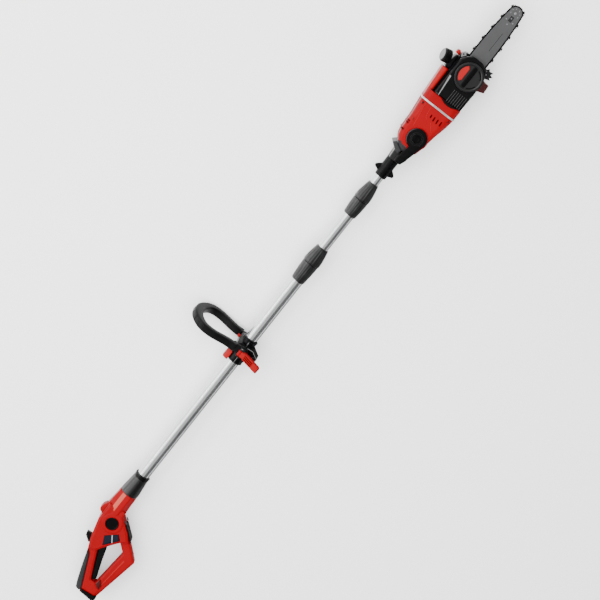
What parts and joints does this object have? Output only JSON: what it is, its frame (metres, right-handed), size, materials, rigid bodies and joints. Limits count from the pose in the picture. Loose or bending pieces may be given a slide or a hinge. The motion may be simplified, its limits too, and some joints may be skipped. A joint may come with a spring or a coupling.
{
  "type": "telescoping pole saw",
  "caption": "Cordless pole saw with a telescoping three-tube pole, sliding loop handle, trigger grip at the rear and a tilting chainsaw head.",
  "frame": {"origin": "centre of the bounding box in plan, at its lowest level; the tool lies on its left side", "axes": "+X along the pole from the rear handle to the bar tip, +Y towards the top of the tool, +Z towards its right side"},
  "size_m": [2.0518, 0.313, 0.1159],
  "materials": {
    "red": "glossy",
    "black": "satin",
    "soft": "matte",
    "grey": "satin",
    "light": "satin",
    "steel": "brushed",
    "dark_steel": "dark",
    "aluminium": "satin",
    "cable": "matte",
    "maroon": "glossy"
  },
  "bodies": {
    "pole": {"handle_shell_right": "red", "handle_shell_left": "red", "grip_overmould": "soft", "handle_end_cap": "black", "tube_collar": "grey", "side_cap": "black", "side_window": "black", "switch_module": "black", "battery_contacts": "black", "battery_rail": "black", "trigger_spring": "steel", "lower_tube": "aluminium", "lower_lock_base": "black", "lower_lock_collet": "light", "coiled_cable": "cable"},
    "trigger": {"trigger": "black"},
    "lock_off": {"lock_off_button": "black"},
    "lower_nut": {"lower_lock_nut": "black"},
    "mid_pole": {"mid_tube": "aluminium", "mid_guide_bush": "black", "upper_lock_base": "black", "upper_lock_collet": "light"},
    "upper_nut": {"upper_lock_nut": "black"},
    "upper_pole": {"upper_tube": "aluminium", "upper_guide_bush": "black", "pole_holder": "black", "tilt_shaft": "steel", "tilt_cover": "grey"},
    "clamp_slide": {"clamp_liner": "soft"},
    "front_clamp": {"clamp_half_upper": "black", "clamp_half_lower": "black", "near_pivot": "dark_steel", "far_pivot": "dark_steel", "clamp_bolt": "dark_steel", "lever_pin": "steel"},
    "loop": {"loop_handle": "black"},
    "lever": {"clamp_lever": "red"},
    "angle_lock": {"angle_button": "red"},
    "slide_lock": {"slide_lock_tab": "red"},
    "tilt_lock": {"tilt_button": "black"},
    "head": {"motor_housing_right": "red", "motor_housing_left": "red", "motor_can": "steel", "trim_ring": "light", "front_housing": "red", "gear_case": "black", "sprocket_cover": "black", "bar_stud": "steel", "oil_tank": "black", "guard_lug": "red", "guard_plate": "light", "branch_hook": "dark_steel", "chain_catcher": "maroon"},
    "bar": {"guide_bar": "steel", "saw_chain": "dark_steel"},
    "knob": {"tension_knob": "black"},
    "cap": {"oil_cap": "black"},
    "rotor": {"motor_rotor": "dark_steel"},
    "wheel": {"bevel_wheel": "steel", "drive_sprocket": "dark_steel"}
  },
  "joints": [
    {"name": "trigger_pull", "type": "hinge", "parent": "pole", "child": "trigger", "pos_m": [-0.8774, -0.05, 0.05796], "axis": [0, 0, -1], "range_deg": [0, 6], "stiffness_Nm_per_rad": 0.5, "springref_deg": -8.59, "deforming": ["trigger_spring"]},
    {"name": "lock_off_push", "type": "slide", "parent": "pole", "child": "lock_off", "axis": [0.289, -0.9573, 0], "range_m": [0, 0.004], "stiffness_N_per_m": 400, "springref_m": -0.004},
    {"name": "lower_lock_turn", "type": "hinge", "parent": "pole", "child": "lower_nut", "pos_m": [0.1706, -0.02, 0.05796], "axis": [1, 0, 0], "range_deg": [0, 90]},
    {"name": "mid_tube_slide", "type": "slide", "parent": "pole", "child": "mid_pole", "axis": [1, 0, 0], "range_m": [-0.105, 0.4], "deforming": ["coiled_cable"]},
    {"name": "upper_lock_turn", "type": "hinge", "parent": "mid_pole", "child": "upper_nut", "pos_m": [0.3906, -0.02, 0.05796], "axis": [1, 0, 0], "range_deg": [0, 90]},
    {"name": "upper_tube_slide", "type": "slide", "parent": "mid_pole", "child": "upper_pole", "axis": [1, 0, 0], "range_m": [-0.02, 0.4], "deforming": ["coiled_cable"]},
    {"name": "front_handle_slide", "type": "slide", "parent": "pole", "child": "clamp_slide", "axis": [1, 0, 0], "range_m": [-0.3, 0.19]},
    {"name": "front_handle_turn", "type": "hinge", "parent": "clamp_slide", "child": "front_clamp", "pos_m": [-0.1499, -0.02, 0.05796], "axis": [1, 0, 0], "range_deg": [-90, 90]},
    {"name": "loop_angle", "type": "hinge", "parent": "front_clamp", "child": "loop", "pos_m": [-0.1499, -0.02, 0.05796], "axis": [-0.3256, 0, 0.9455], "range_deg": [-30, 30]},
    {"name": "clamp_lever_swing", "type": "hinge", "parent": "front_clamp", "child": "lever", "pos_m": [-0.1652, -0.015, 0.1024], "axis": [-0.9455, 0, -0.3256], "range_deg": [0, 90]},
    {"name": "angle_button_push", "type": "slide", "parent": "front_clamp", "child": "angle_lock", "axis": [0, -1, 0], "range_m": [0, 0.003], "stiffness_N_per_m": 400, "springref_m": -0.003},
    {"name": "slide_lock_lift", "type": "hinge", "parent": "front_clamp", "child": "slide_lock", "pos_m": [-0.16928, 0.01, 0.05129], "axis": [0.3256, 0, -0.9455], "range_deg": [0, 50]},
    {"name": "head_tilt", "type": "hinge", "parent": "upper_pole", "child": "head", "pos_m": [0.5906, -0.031, 0.05796], "axis": [0, 0, 1], "range_deg": [-90, 0]},
    {"name": "tilt_button_push", "type": "slide", "parent": "upper_pole", "child": "tilt_lock", "axis": [0, 0, -1], "range_m": [0, 0.0035], "stiffness_N_per_m": 400, "springref_m": -0.0035},
    {"name": "tension_knob_turn", "type": "hinge", "parent": "head", "child": "knob", "pos_m": [0.8016, -0.038, 0.10176], "axis": [0, 0, 1], "range_deg": [-180, 0]},
    {"name": "bar_tension", "type": "slide", "parent": "head", "child": "bar", "axis": [1, 0, 0], "range_m": [-0.004, 0]},
    {"name": "oil_cap_turn", "type": "hinge", "parent": "head", "child": "cap", "pos_m": [0.8106, 0.032, 0.06596], "axis": [-0.2005, 0.9324, 0.3008], "range_deg": [0, 360]},
    {"name": "bevel_wheel_spin", "type": "hinge", "parent": "head", "child": "wheel", "pos_m": [0.7706, -0.0315, 0.05796], "axis": [0, 0, 1], "continuous": true},
    {"name": "motor_spin", "type": "hinge", "parent": "head", "child": "rotor", "pos_m": [0.6706, -0.0315, 0.04696], "axis": [1, 0, 0], "continuous": true}
  ],
  "couplings": [
    {"joint": "motor_spin", "follows": "bevel_wheel_spin", "ratio": -2.5},
    {"joint": "tension_knob_turn", "follows": "bar_tension", "rad_per_m": 785}
  ]
}
